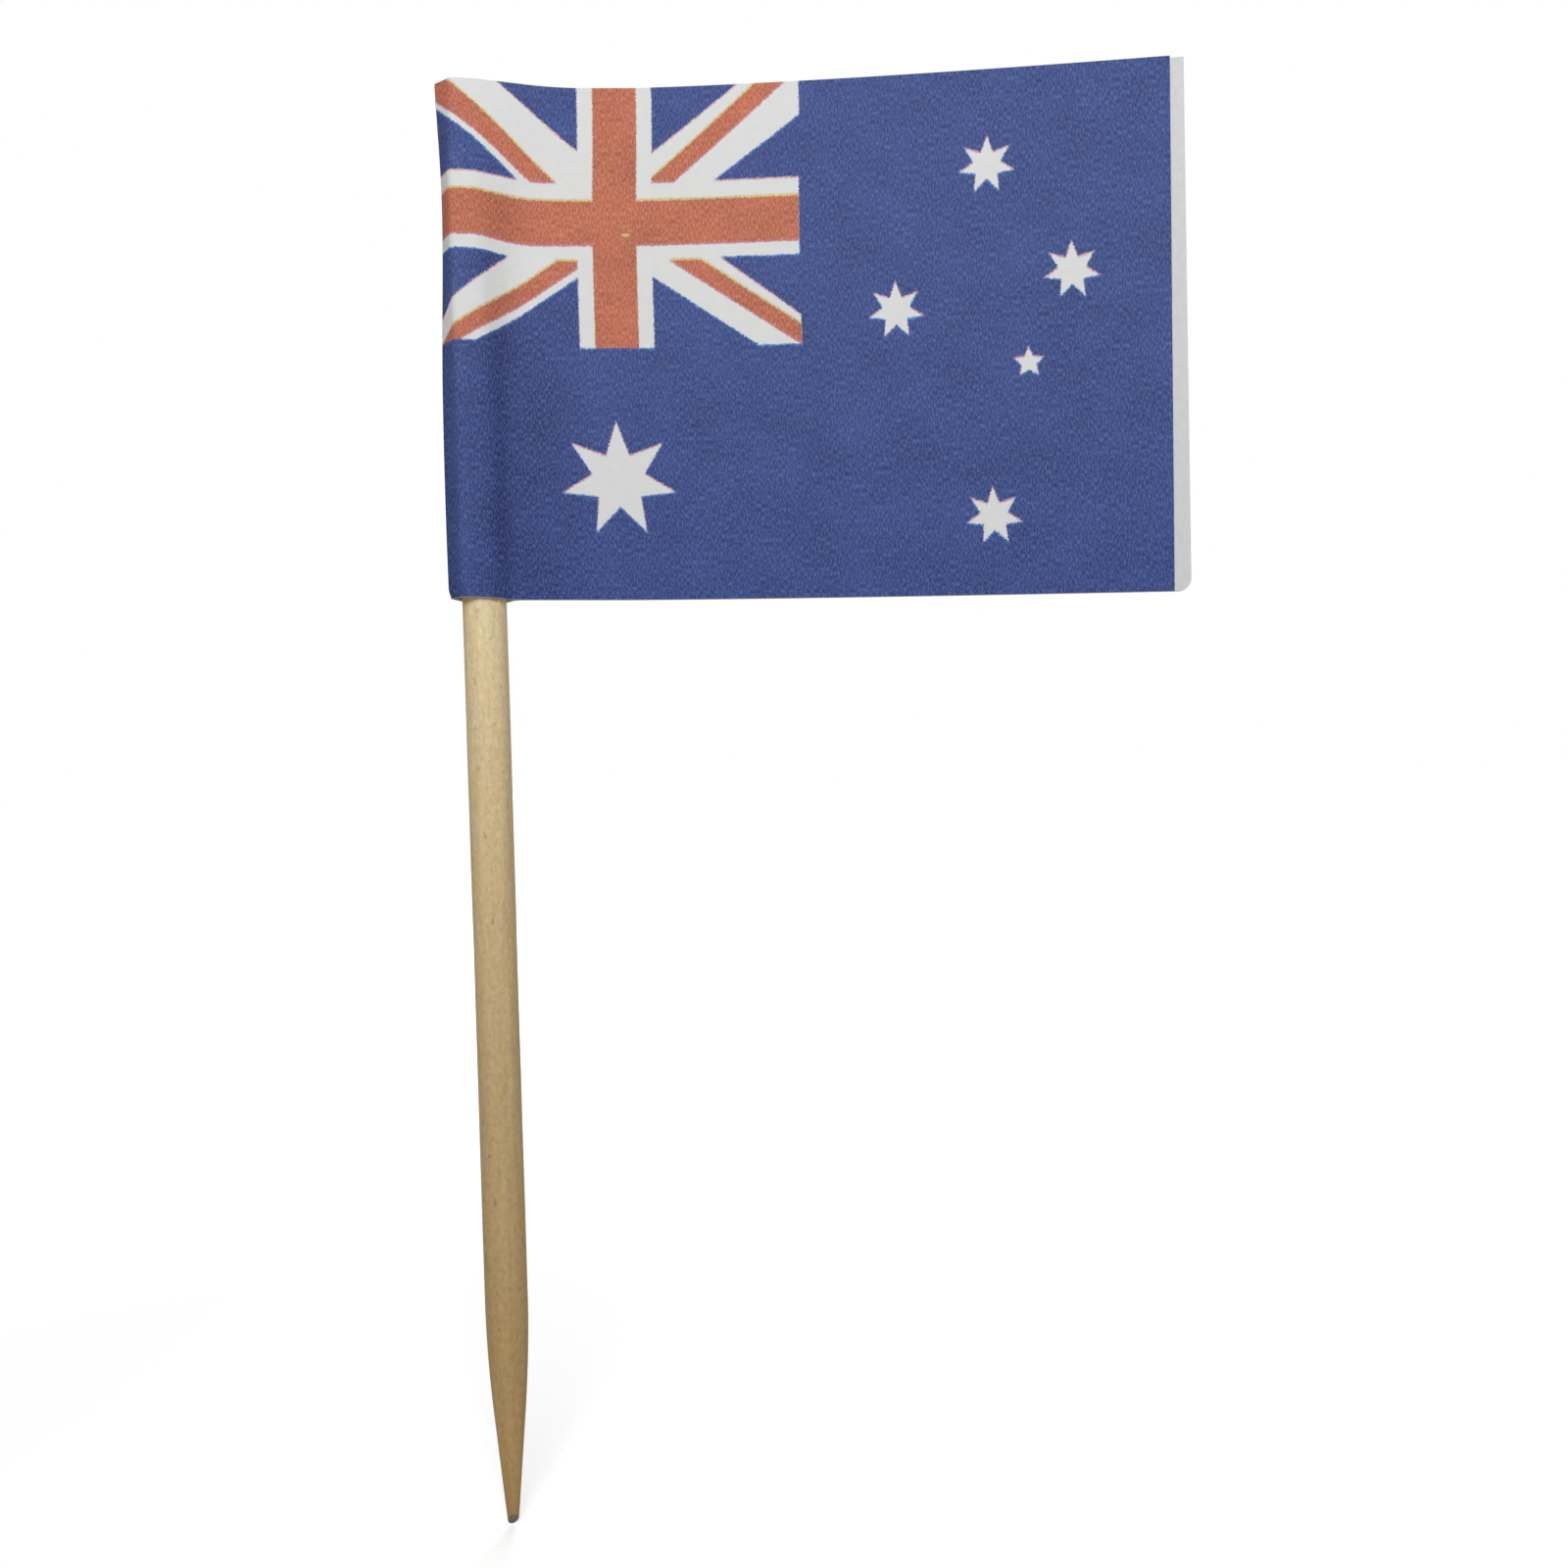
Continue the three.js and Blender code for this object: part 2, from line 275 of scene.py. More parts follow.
class Graph:
    """A node tree with short calls for the nodes used here."""

    def __init__(self, tree):
        self.tree = tree

    def add(self, kind, **settings):
        node = self.tree.nodes.new(kind)
        for name, value in settings.items():
            setattr(node, name, value)
        return node

    def put(self, value, socket):
        if isinstance(value, bpy.types.NodeSocket):
            self.tree.links.new(value, socket)
        else:
            socket.default_value = value

    def math(self, operation, *values):
        node = self.add("ShaderNodeMath", operation=operation)
        for value, socket in zip(values, node.inputs):
            self.put(value, socket)
        return node.outputs[0]

    def most(self, values):
        result = values[0]
        for value in values[1:]:
            result = self.math("MAXIMUM", result, value)
        return result

    def least(self, values):
        result = values[0]
        for value in values[1:]:
            result = self.math("MINIMUM", result, value)
        return result

    def apart(self, first, second):
        return self.math("ABSOLUTE", self.math("SUBTRACT", first, second))

    def vector(self, operation, *values):
        node = self.add("ShaderNodeVectorMath", operation=operation)
        for value, socket in zip(values, node.inputs):
            self.put(value, socket)
        scalar = operation in ("DOT_PRODUCT", "LENGTH")
        return node.outputs["Value" if scalar else "Vector"]

    def split(self, value):
        node = self.add("ShaderNodeSeparateXYZ")
        self.put(value, node.inputs[0])
        return node.outputs[0], node.outputs[1], node.outputs[2]

    def join(self, x, y, z):
        node = self.add("ShaderNodeCombineXYZ")
        for value, socket in zip((x, y, z), node.inputs):
            self.put(value, socket)
        return node.outputs[0]

    def grey(self, value):
        return self.join(value, value, value)

    def noise(self, place, grain, colour=False):
        node = self.add("ShaderNodeTexNoise")
        self.put(self.vector("MULTIPLY", place, grain.shape), node.inputs["Vector"])
        node.inputs["Scale"].default_value = grain.scale
        node.inputs["Detail"].default_value = grain.detail
        node.inputs["Roughness"].default_value = grain.roughness
        return node.outputs["Color" if colour else "Fac"]

    def spread(self, value, low, high, to_low=0.0, to_high=1.0):
        """The value from low to high, mapped to the other range and kept inside it."""
        node = self.add("ShaderNodeMapRange", clamp=True)
        for number, socket in zip((value, low, high, to_low, to_high), node.inputs):
            self.put(number, socket)
        return node.outputs[0]

    def between(self, noise_value, low=0.0, high=1.0):
        """A noise's value, mapped from most of its range to the other range."""
        return self.spread(noise_value, *NOISE_RANGE, low, high)

    def mix(self, share, first, second, blend="MIX"):
        node = self.add("ShaderNodeMix", data_type="RGBA", blend_type=blend)
        self.put(share, node.inputs["Factor"])
        colours = [s for s in node.inputs if s.type == "RGBA"]
        for value, socket in zip((first, second), colours):
            if isinstance(value, tuple):
                value = (*value, 1.0)
            self.put(value, socket)
        return next(s for s in node.outputs if s.type == "RGBA")

    def filtered(self, colour, filter_colour):
        return self.mix(1.0, colour, filter_colour, "MULTIPLY")

    def stained(self, colour, share, filter_colour):
        """The colour with a share of it filtered."""
        return self.mix(share, colour, self.filtered(colour, filter_colour))

    def bump(self, height, distance):
        node = self.add("ShaderNodeBump")
        node.inputs["Distance"].default_value = distance
        self.put(height, node.inputs["Height"])
        return node.outputs[0]


def new_material(name):
    """A material with its graph and its Principled shader."""
    material = bpy.data.materials.new(name)
    material.use_nodes = True
    shader = material.node_tree.nodes["Principled BSDF"]
    return material, Graph(material.node_tree), shader


def dress(graph, shader, colour, roughness, specular, grain, relief):
    """Sets a surface's colour, roughness and specular level, and its relief from a grain, in mm."""
    graph.put(colour, shader.inputs["Base Color"])
    graph.put(roughness, shader.inputs["Roughness"])
    shader.inputs["Specular IOR Level"].default_value = specular
    graph.put(graph.bump(grain, relief * MM), shader.inputs["Normal"])


def strip_place(graph):
    """What give_place keeps: signed place along the print, height and distance from the crease."""
    return graph.add("ShaderNodeAttribute", attribute_name="strip_place").outputs["Vector"]


def place_in_mm(graph):
    place = graph.add("ShaderNodeTexCoord").outputs["Object"]
    return graph.vector("MULTIPLY", place, (1 / MM, 1 / MM, 1 / MM))


# Print

def line_below(graph, place, slope, height):
    """How far a place lies below a sloped line, in mm."""
    across = math.hypot(1, slope)
    start = height - slope * CROSS_ALONG
    return graph.vector("DOT_PRODUCT", place, (slope / across, -1 / across, start / across))


def star_inside(graph, place, points, along, up, radius, notch, width):
    """How far a place lies inside a star that has one tip up."""
    half = math.pi / points
    tip = Vector((radius, 0))
    dent = Vector((radius * notch * math.cos(half), radius * notch * math.sin(half)))
    side = dent - tip
    normal = Vector((side.y, -side.x)).normalized()
    away = graph.vector("SUBTRACT", place, (along, up, 1.0))
    away = graph.vector("MULTIPLY", away, (1 / width, 1.0, 0.0))
    x, y, _ = graph.split(away)
    turn = graph.math("ARCTAN2", x, y)
    turn = graph.math("ABSOLUTE", graph.math("WRAP", turn, half, -half))
    reach = graph.vector("LENGTH", away)
    forward = graph.math("MULTIPLY", reach, graph.math("COSINE", turn))
    sideways = graph.math("MULTIPLY", reach, graph.math("SINE", turn))
    folded = graph.join(forward, sideways, 1.0)
    return graph.vector("DOT_PRODUCT", folded, (-normal.x, -normal.y, normal.dot(tip)))


def cross_inside(graph, from_arm, up, arm, bar):
    """How far a place lies inside a cross with an arm of this half width and a bar from bottom to top."""
    upright = graph.math("SUBTRACT", arm, from_arm)
    bottom, top = bar
    level = graph.least([graph.math("SUBTRACT", up, bottom), graph.math("SUBTRACT", top, up)])
    return graph.math("MAXIMUM", upright, level)


def diagonals_inside(graph, place, clear):
    """How far a place lies inside each white diagonal, and inside each red one, which keeps clear."""
    whites = []
    reds = []
    for (right, upper), borders in DIAGONALS.items():
        below = [line_below(graph, place, slope, height) for slope, height in borders]
        sideways = graph.vector("DOT_PRODUCT", place, (right, 0, -right * CROSS_ALONG))
        upwards = graph.vector("DOT_PRODUCT", place, (0, upper, -upper * CROSS_UP))
        quarter = graph.math("MINIMUM", sideways, upwards)
        above = [graph.math("MULTIPLY", distance, -1.0) for distance in below[2:]]
        whites.append(graph.least([below[0], above[1], quarter]))
        reds.append(graph.least([below[1], above[0], quarter, clear]))
    return whites, reds


def print_group():
    """The print's shapes as a node group. Place is (along, up, 1), and Blue and Red are inked shares."""
    tree = bpy.data.node_groups.new("flag_print", "ShaderNodeTree")
    tree.interface.new_socket("Place", in_out="INPUT", socket_type="NodeSocketVector")
    tree.interface.new_socket("Blue", in_out="OUTPUT", socket_type="NodeSocketFloat")
    tree.interface.new_socket("Red", in_out="OUTPUT", socket_type="NodeSocketFloat")
    graph = Graph(tree)
    place = graph.add("NodeGroupInput").outputs[0]
    along, up, _ = graph.split(place)
    from_arm = graph.apart(along, CROSS_ALONG)
    clear = graph.least([graph.math("SUBTRACT", from_arm, WHITE_ARM),
                         graph.math("SUBTRACT", graph.apart(up, CROSS_UP), RED_DIAGONAL_CLEAR)])
    whites, reds = diagonals_inside(graph, place, clear)
    whites.append(cross_inside(graph, from_arm, up, WHITE_ARM, WHITE_BAR))
    reds.append(cross_inside(graph, from_arm, up, RED_ARM, RED_BAR))
    canton = graph.least([graph.math("SUBTRACT", CANTON_END, along),
                          graph.math("SUBTRACT", up, CANTON_FOOT)])
    stars = [star_inside(graph, place, *star) for star in STARS]
    bare = graph.most([graph.math("MINIMUM", canton, graph.most(whites))] + stars)
    red = graph.math("MINIMUM", canton, graph.most(reds))
    half = BORDER_SOFTNESS / 2
    output = graph.add("NodeGroupOutput")
    graph.put(graph.spread(bare, -half, half, 1.0, 0.0), output.inputs["Blue"])
    graph.put(graph.spread(red, -half, half), output.inputs["Red"])
    return tree


def plate(graph, shapes, place, rise):
    """The shares of blue and of red print at a place, on a plate that lies higher by the rise."""
    node = graph.add("ShaderNodeGroup", node_tree=shapes)
    graph.put(graph.vector("ADD", place, (0.0, -rise, 0.0)), node.inputs[0])
    return node.outputs["Blue"], node.outputs["Red"]


def printed_colour(graph, paper, place, flat):
    """The paper's colour under the three inks, and the shares of blue and of red print."""
    shapes = print_group()
    blue, red = plate(graph, shapes, place, 0.0)
    low_blue, low_red = plate(graph, shapes, place, -MAGENTA_SHIFT)
    _, high_red = plate(graph, shapes, place, YELLOW_RISE)
    # Blue's magenta is softer at its borders than red's, and so is yellow
    magenta_in_blue = graph.mix(LOW_MAGENTA, blue, low_blue)
    yellow = graph.spread(graph.math("ADD", red, high_red), 0.0, FULL_YELLOW)
    from_speck = graph.vector("SUBTRACT", flat, (*SPECK, 0.0))
    from_speck = graph.vector("MULTIPLY", from_speck, (1 / SPECK_REACH[0], 1 / SPECK_REACH[1], 0.0))
    whole = graph.spread(graph.vector("LENGTH", from_speck), *SPECK_RIM)
    magenta = graph.math("MAXIMUM", magenta_in_blue, graph.math("MULTIPLY", low_red, whole))
    colour = graph.stained(paper, blue, CYAN_INK)
    colour = graph.stained(colour, magenta, MAGENTA_INK)
    colour = graph.stained(colour, yellow, YELLOW_INK)
    return colour, blue, red


def ink_and_painted_shade(graph, strokes, clouds, up, from_crease, blue, red):
    """A factor for each colour: how light or dark the uneven ink is, darker along the crease and with
    painted shade in the hollow beside the stick.
    """
    uneven = graph.math("ADD", graph.between(strokes, *STROKES_LIGHT),
                        graph.between(clouds, *CLOUDS_LIGHT))
    uneven = graph.math("MULTIPLY", uneven, graph.math("MAXIMUM", blue, red))
    # Painted shade in the hollow beside the stick, where the paper turns away from the light
    hollow_shade = graph.math("MULTIPLY", graph.spread(from_crease, HOLLOW_START, HOLLOW_ALONG),
                        graph.spread(from_crease, HOLLOW_ALONG, HOLLOW_END, 1.0, 0.0))
    hollow_shade = graph.math("MULTIPLY", hollow_shade, graph.spread(up, *HOLLOW_HEIGHTS, *HOLLOW_PAINTED_SHADE))
    # Darker along the crease
    crease = graph.spread(graph.math("ABSOLUTE", from_crease), 0.0, CREASE_REACH, CREASE_LIGHT, 0.0)
    # The crease darkening and the painted hollow shade show most in the blue
    darkening_share = graph.math("MAXIMUM", blue, graph.math("MULTIPLY", red, DARKENING_IN_RED))
    crease_dark_and_hollow_shade = graph.math("MULTIPLY", graph.math("ADD", hollow_shade, crease), darkening_share)
    crease_dark_and_hollow_shade = graph.vector("MULTIPLY", graph.grey(crease_dark_and_hollow_shade), DARKENING_TINT)
    light = graph.vector("ADD", graph.grey(uneven), crease_dark_and_hollow_shade)
    return graph.vector("ADD", light, WHITE)


def ink_gaps(graph, strokes, clouds, up, from_crease):
    """The share of bare paper that shows in the ink."""
    gaps = graph.math("ADD", graph.spread(strokes, *GAP_STROKES, 0.0, STROKE_GAPS),
                      graph.spread(up, 0.0, HIGH_GAPS_HEIGHT, 0.0, HIGH_GAPS))
    from_line = graph.apart(from_crease, WORN_ALONG)
    worn = graph.math("MULTIPLY", graph.spread(from_line, 0.0, WORN_REACH, 1.0, 0.0),
                      graph.spread(clouds, *WORN_CLOUDS))
    return graph.math("ADD", gaps, graph.math("MULTIPLY", worn, WORN_GAPS))


def printed_paper():
    """White paper under three inks that are uneven and don't quite meet, with painted shade in the hollow
    beside the stick.
    """
    material, graph, shader = new_material("printed_paper")
    signed, up, from_crease = graph.split(strip_place(graph))
    flat = graph.join(signed, up, 0.0)
    rag = graph.vector("SUBTRACT", graph.noise(flat, RAG, colour=True), (0.5, 0.5, 0.5))
    rag = graph.vector("MULTIPLY", rag, (RAG_REACH, RAG_REACH, 0.0))
    place = graph.vector("ADD", graph.join(graph.math("ABSOLUTE", signed), up, 1.0), rag)
    paper = graph.mix(graph.between(graph.noise(flat, PAPER_CLOUDS)), *PAPER_TONES)
    colour, blue, red = printed_colour(graph, paper, place, flat)
    inked = graph.math("MAXIMUM", blue, red)
    strokes = graph.noise(flat, STROKES)
    clouds = graph.noise(flat, CLOUDS)
    tint = graph.vector("MULTIPLY", graph.noise(flat, TINT, colour=True), (TINT_REACH,) * 3)
    tint = graph.vector("ADD", tint, (1 - TINT_REACH / 2,) * 3)
    colour = graph.filtered(colour, graph.mix(inked, WHITE, tint))
    colour = graph.filtered(colour, ink_and_painted_shade(graph, strokes, clouds, up, from_crease, blue, red))
    gaps = graph.math("MULTIPLY", ink_gaps(graph, strokes, clouds, up, from_crease), inked)
    colour = graph.mix(gaps, colour, paper)
    roughness = graph.between(strokes, 0.75, 0.85)
    dress(graph, shader, colour, roughness, specular=0.12, grain=strokes, relief=0.004)
    return material


def bare_paper():
    """The strip's inner face, without print."""
    material, graph, shader = new_material("bare_paper")
    fibres = graph.noise(strip_place(graph), INNER_FIBRES)
    colour = graph.mix(graph.between(fibres), *INNER_TONES)
    roughness = graph.between(fibres, 0.8, 0.92)
    dress(graph, shader, colour, roughness, specular=0.2, grain=fibres, relief=0.008)
    return material


def cut_edge():
    """The strip's cut edge, darker than its faces."""
    material, graph, shader = new_material("cut_paper_edge")
    fibres = graph.noise(strip_place(graph), EDGE_FIBRES)
    colour = graph.mix(graph.spread(fibres, *NOISE_CORE), *EDGE_TONES)
    dress(graph, shader, colour, roughness=0.9, specular=0.2, grain=fibres, relief=0.012)
    return material


def wood():
    """Pale wood, darker and warmer towards the tip, with long streaks, short flecks and a few pores."""
    material, graph, shader = new_material("pale_wood")
    place = place_in_mm(graph)
    _, _, up = graph.split(place)
    height = graph.spread(up, LOW_WOOD_HEIGHT, HIGH_WOOD_HEIGHT)
    colour = graph.mix(graph.math("POWER", height, WOOD_FADE), LOW_WOOD, HIGH_WOOD)
    flecks = graph.noise(place, FLECKS)
    light = graph.math("ADD", graph.between(graph.noise(place, STREAKS), *STREAKS_LIGHT),
                       graph.between(flecks, *FLECKS_LIGHT))
    light = graph.vector("MULTIPLY", graph.grey(light), PALER)
    colour = graph.filtered(colour, graph.vector("ADD", light, WHITE))
    patches = graph.spread(graph.noise(place, PATCHES), *NOISE_CORE)
    colour = graph.filtered(colour, graph.mix(patches, *PATCH_TINTS))
    # Darker and warmer over the last few mm to the tip
    colour = graph.stained(colour, graph.spread(up, 0.0, TIP_DARKENING_HEIGHT, 1.0, 0.0), TIP_DARKENING)
    pores = graph.spread(graph.noise(place, PORES), *PORE_RANGE, 0.0, PORE_SHARE)
    colour = graph.stained(colour, pores, PORE_STAIN)
    roughness = graph.between(flecks, 0.65, 0.8)
    dress(graph, shader, colour, roughness, specular=0.2, grain=flecks, relief=0.012)
    return material


def end_grain():
    """The stained end of the fibres at the tip."""
    material, graph, shader = new_material("end_grain")
    pores = graph.noise(place_in_mm(graph), END_GRAIN)
    colour = graph.mix(graph.between(pores), *END_TONES)
    roughness = graph.between(pores, 0.75, 0.9)
    dress(graph, shader, colour, roughness, specular=0.2, grain=pores, relief=0.01)
    return material


def adhesive():
    """Dried adhesive, slightly glossy."""
    material, graph, shader = new_material("dried_adhesive")
    lumps = graph.noise(place_in_mm(graph), LUMPS)
    colour = graph.mix(graph.between(lumps), *ADHESIVE_TONES)
    roughness = graph.between(lumps, 0.4, 0.6)
    dress(graph, shader, colour, roughness, specular=0.5, grain=lumps, relief=0.01)
    return material


# Shapes

def new_piece(name, points, faces, materials, slots=None):
    """A smooth mesh object, sharp where it turns much. slots gives each face its material."""
    mesh = bpy.data.meshes.new(name)
    mesh.from_pydata([tuple(p) for p in points], [], faces)
    for material in materials:
        mesh.materials.append(material)
    if slots is not None:
        mesh.polygons.foreach_set("material_index", slots)
    mesh.shade_smooth()
    mesh.set_sharp_from_angle(angle=SHARP_ANGLE)
    mesh.update()
    piece = bpy.data.objects.new(name, mesh)
    bpy.context.scene.collection.objects.link(piece)
    return piece


def section_at(height):
    """Slack, forward, run, rounding and depth at a height, on a smooth curve through the sections."""
    heights = SLEEVE_SECTIONS[:, 0]
    sizes = SLEEVE_SECTIONS[:, 1:]
    i = int(np.clip(np.searchsorted(heights, height, side="right") - 1, 0, len(heights) - 2))
    gap = heights[i + 1] - heights[i]
    t = (height - heights[i]) / gap

    def slope(k):
        before = max(k - 1, 0)
        after = min(k + 1, len(heights) - 1)
        return (sizes[after] - sizes[before]) / (heights[after] - heights[before])

    start = sizes[i] * (1 + 2 * t) * (1 - t) ** 2 + sizes[i + 1] * t**2 * (3 - 2 * t)
    return start + gap * t * (1 - t) * (slope(i) * (1 - t) - slope(i + 1) * t)


def curl_at(u):
    """How far the paper stands forward at a distance from the stick's axis."""
    return CURL_RISE * (np.maximum(u - CURL_START, 0) / CURL_RUN) ** CURL_POWER


def reach_at(height, side):
    """How far a leaf reaches at a height. The back leaf's lower corner is rounded."""
    if side < 0:
        return FRONT_REACH - FRONT_END_LEAN * height / FLAG_HEIGHT
    short = max(BACK_CORNER - height, 0)
    corner = BACK_CORNER - math.sqrt(BACK_CORNER**2 - short**2)
    return BACK_REACH - BACK_END_LEAN * height / FLAG_HEIGHT - corner


def axis_at(height):
    """The stick's axis at a height, in the flag's frame."""
    return np.array([-math.tan(DROOP) * height, -math.tan(TILT) / math.cos(DROOP) * height])


def turned(centre, radius, turns, side):
    """Points at a distance from a centre, turned from straight left towards a side."""
    return np.stack([centre[0] - radius * np.cos(turns), centre[1] + side * radius * np.sin(turns)], -1)


def steps_to(start, end, count):
    """Values from start to end in equal steps, without start itself."""
    return np.linspace(start, end, count + 1)[1:]


def leaving(bend, following, side):
    """The turn at which the paper leaves one round bend and runs straight to the next."""
    span = following[0] - bend[0]
    return math.acos((following[1] - bend[1]) / math.hypot(*span)) - math.atan2(side * span[1], span[0])


def round_bends(height, side):
    """The sleeve's bends from its crease to where the leaves meet, as centre, radius and steps."""
    slack, forward, run, _, depth = section_at(height)
    axis = axis_at(height)
    crease = axis + (CREASE_RADIUS - SLEEVE_RADIUS - slack, -forward)
    elbow = turned(axis, SLEEVE_RADIUS + ELBOW_SLACK - ELBOW_RADIUS, ELBOW_TURN, side)
    meet = np.array([axis[0] + SLEEVE_RADIUS + run, -LEAF_FORWARD + side * LEAF_OFFSET / depth])
    return [
        (crease, CREASE_RADIUS, CREASE_STEPS),
        (elbow, ELBOW_RADIUS, ELBOW_STEPS),
        (axis, SLEEVE_RADIUS, WRAP_STEPS),
        (meet, 0, 0),
    ]


def half_path(height, side):
    """The middle of the paper from the sleeve's crease to a leaf's end; side is -1 for the front.
    The paper bends at the crease, at the elbow and round the stick, and is straight between them."""
    _, _, _, rounding, depth = section_at(height)
    bends = round_bends(height, side)
    parts = []
    turn = 0
    for bend, following in zip(bends, bends[1:]):
        centre, radius, steps = bend
        end = leaving(bend, following, side)
        parts.append(turned(centre, radius, np.linspace(turn, end, steps + 1), side))
        turn = end
    touch = parts[-1][-1]
    meet = bends[-1][0]
    back = (touch - meet) / np.hypot(*(touch - meet))
    start = meet + back * rounding
    straight = touch + (start - touch) * steps_to(0, 1, STRAIGHT_STEPS)[:, None]
    finish = meet + np.array([rounding, 0])
    t = steps_to(0, 1, MEETING_STEPS)[:, None]
    rounded = (1 - t) ** 2 * start + 2 * t * (1 - t) * meet + t**2 * finish
    ends = steps_to(finish[0], reach_at(height, -1), LEAF_STEPS)
    if side > 0:
        ends = np.append(ends, steps_to(ends[-1], reach_at(height, 1), STRIP_STEPS))
    leaf = np.stack([ends, np.full_like(ends, meet[1])], 1)
    line = np.concatenate([*parts, straight, rounded, leaf])
    line[:, 1] = -LEAF_FORWARD + (line[:, 1] + LEAF_FORWARD) * depth - curl_at(line[:, 0])
    return line


def moved(line, distance):
    """The line moved sideways, to its right for a positive distance, as seen from above."""
    ahead = np.gradient(line, axis=0)
    ahead /= np.hypot(ahead[:, 0], ahead[:, 1])[:, None]
    return line + np.stack([ahead[:, 1], -ahead[:, 0]], 1) * distance


def row_heights():
    """Heights of the paper's rows of points, closest at the back leaf's rounded corner."""
    corner = BACK_CORNER * (1 - np.cos(np.linspace(0, math.pi / 2, CORNER_STEPS + 1)))
    return np.concatenate([corner, steps_to(BACK_CORNER, FLAG_HEIGHT, FLAG_ROWS)])


def slab(first, second, heights):
    """Points and faces of a closed solid between two sheets of rows, and what each face is: 0 on the
    first sheet, 1 on the second sheet and 2 on the cut edge."""
    rows, wide = first.shape[:2]
    up = np.repeat(heights, wide)[:, None]
    points = np.concatenate([np.hstack([sheet.reshape(-1, 2), up]) for sheet in (first, second)])
    far = rows * wide
    faces = []
    kinds = []
    for j in range(rows - 1):
        for i in range(wide - 1):
            a = j * wide + i
            faces.append((a, a + 1, a + 1 + wide, a + wide))
            faces.append((far + a, far + a + wide, far + a + 1 + wide, far + a + 1))
            kinds += [0, 1]
        left = j * wide
        right = left + wide - 1
        faces.append((left, left + wide, far + left + wide, far + left))
        faces.append((right, far + right, far + right + wide, right + wide))
        kinds += [2, 2]
    for i in range(wide - 1):
        top = (rows - 1) * wide + i
        faces.append((i, far + i, far + i + 1, i + 1))
        faces.append((top, top + 1, far + top + 1, far + top))
        kinds += [2, 2]
    return points, faces, kinds


def to_frame(points):
    """Points of the flag's frame in mm, in the part's frame in metres."""
    on_pick = points @ np.array(FLAG_TO_PICK.to_3x3()).T + np.array(FLAG_TO_PICK.translation)
    return on_pick * MM


def give_place(piece, along, heights, from_crease):
    """Keeps each point's signed place along the print, its height and its distance from the crease."""
    place = np.zeros((len(piece.data.vertices), 3), np.float32)
    place[:, 0] = along
    place[:, 1] = heights
    place[:, 2] = from_crease
    attribute = piece.data.attributes.new("strip_place", "FLOAT_VECTOR", "POINT")
    attribute.data.foreach_set("vector", place.ravel())


def paper_flag():
    """The paper strip, from the end of its back leaf round the stick to the end of its front leaf."""
    heights = row_heights()
    middles = []
    alongs = []
    from_crease = []
    for height in heights:
        back = half_path(height, 1)
        front = half_path(height, -1)
        line = np.concatenate([back[::-1], front[1:]])
        lengths = np.concatenate([[0], np.cumsum(np.hypot(*np.diff(line, axis=0).T))])
        middles.append(line)
        from_crease.append(lengths - lengths[len(back) - 1])
        alongs.append(from_crease[-1] + PRINT_START + PRINT_LEAN * height)
    middles = np.array(middles)
    outer = np.array([moved(line, PAPER_THICKNESS / 2) for line in middles])
    inner = np.array([moved(line, -PAPER_THICKNESS / 2) for line in middles])
    points, faces, kinds = slab(outer, inner, heights)
    piece = new_piece("folded_flag", to_frame(points), faces,
                      [printed_paper(), bare_paper(), cut_edge()], kinds)
    give_place(piece, np.tile(np.concatenate(alongs), 2),
               np.tile(np.repeat(heights, middles.shape[1]), 2),
               np.tile(np.concatenate(from_crease), 2))
    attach(piece, "root")
    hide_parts("paper_flag")


def glue_film(material):
    """The film between the leaves, as fine as they are."""
    heights = np.linspace(BACK_CORNER, FLAG_HEIGHT - FILM_INSET, FILM_ROWS)
    middles = []
    for height in heights:
        _, _, run, rounding, _ = section_at(height)
        start = axis_at(height)[0] + SLEEVE_RADIUS + run + rounding
        u = np.linspace(start, reach_at(height, -1) - FILM_INSET, FILM_COLUMNS)
        middles.append(np.stack([u, -LEAF_FORWARD - curl_at(u)], 1))
    front = np.array([moved(line, LEAF_FILM / 2) for line in middles])
    back = np.array([moved(line, -LEAF_FILM / 2) for line in middles])
    points, faces, _ = slab(front, back, heights)
    piece = new_piece("leaf_glue_film", to_frame(points), faces, [material])
    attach(piece, "root")
    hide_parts("leaf_glue")


def pick_radius(z):
    """The stick's radius at a height: a cone, a rounded shoulder and a slightly tapered shaft."""
    tip = Vector((TIP_RADIUS, 0))
    shoulder = Vector((PICK_LOW_RADIUS, POINT_LENGTH))
    top = Vector((PICK_TOP_RADIUS, PICK_LENGTH - TOP_CHAMFER))
    start = shoulder.lerp(tip, SHOULDER_RUN / POINT_LENGTH)
    end = shoulder.lerp(top, SHOULDER_RUN / (top.y - shoulder.y))
    if z <= start.y:
        return tip.x + (start.x - tip.x) * z / start.y
    if z >= end.y:
        return end.x + (top.x - end.x) * (z - end.y) / (top.y - end.y)
    t = (z - start.y) / (end.y - start.y)
    return (1 - t) ** 2 * start.x + 2 * t * (1 - t) * shoulder.x + t**2 * end.x


def relief_at(x, y, z):
    """How far the stick's rough side lies inside its smooth shape, in a direction and at a height."""
    fibre = noise.noise(Vector((x * FIBRE_SCALES[0], y * FIBRE_SCALES[0], z * FIBRE_SCALES[1])))
    wave = noise.noise(Vector((x * WAVE_SCALES[0], y * WAVE_SCALES[0], z * WAVE_SCALES[1] + WAVE_START)))
    fade = min(1.0, z / POINT_LENGTH)
    return FIBRE_DEPTH * (0.5 + 0.5 * fibre + WAVE_SHARE * wave * fade)


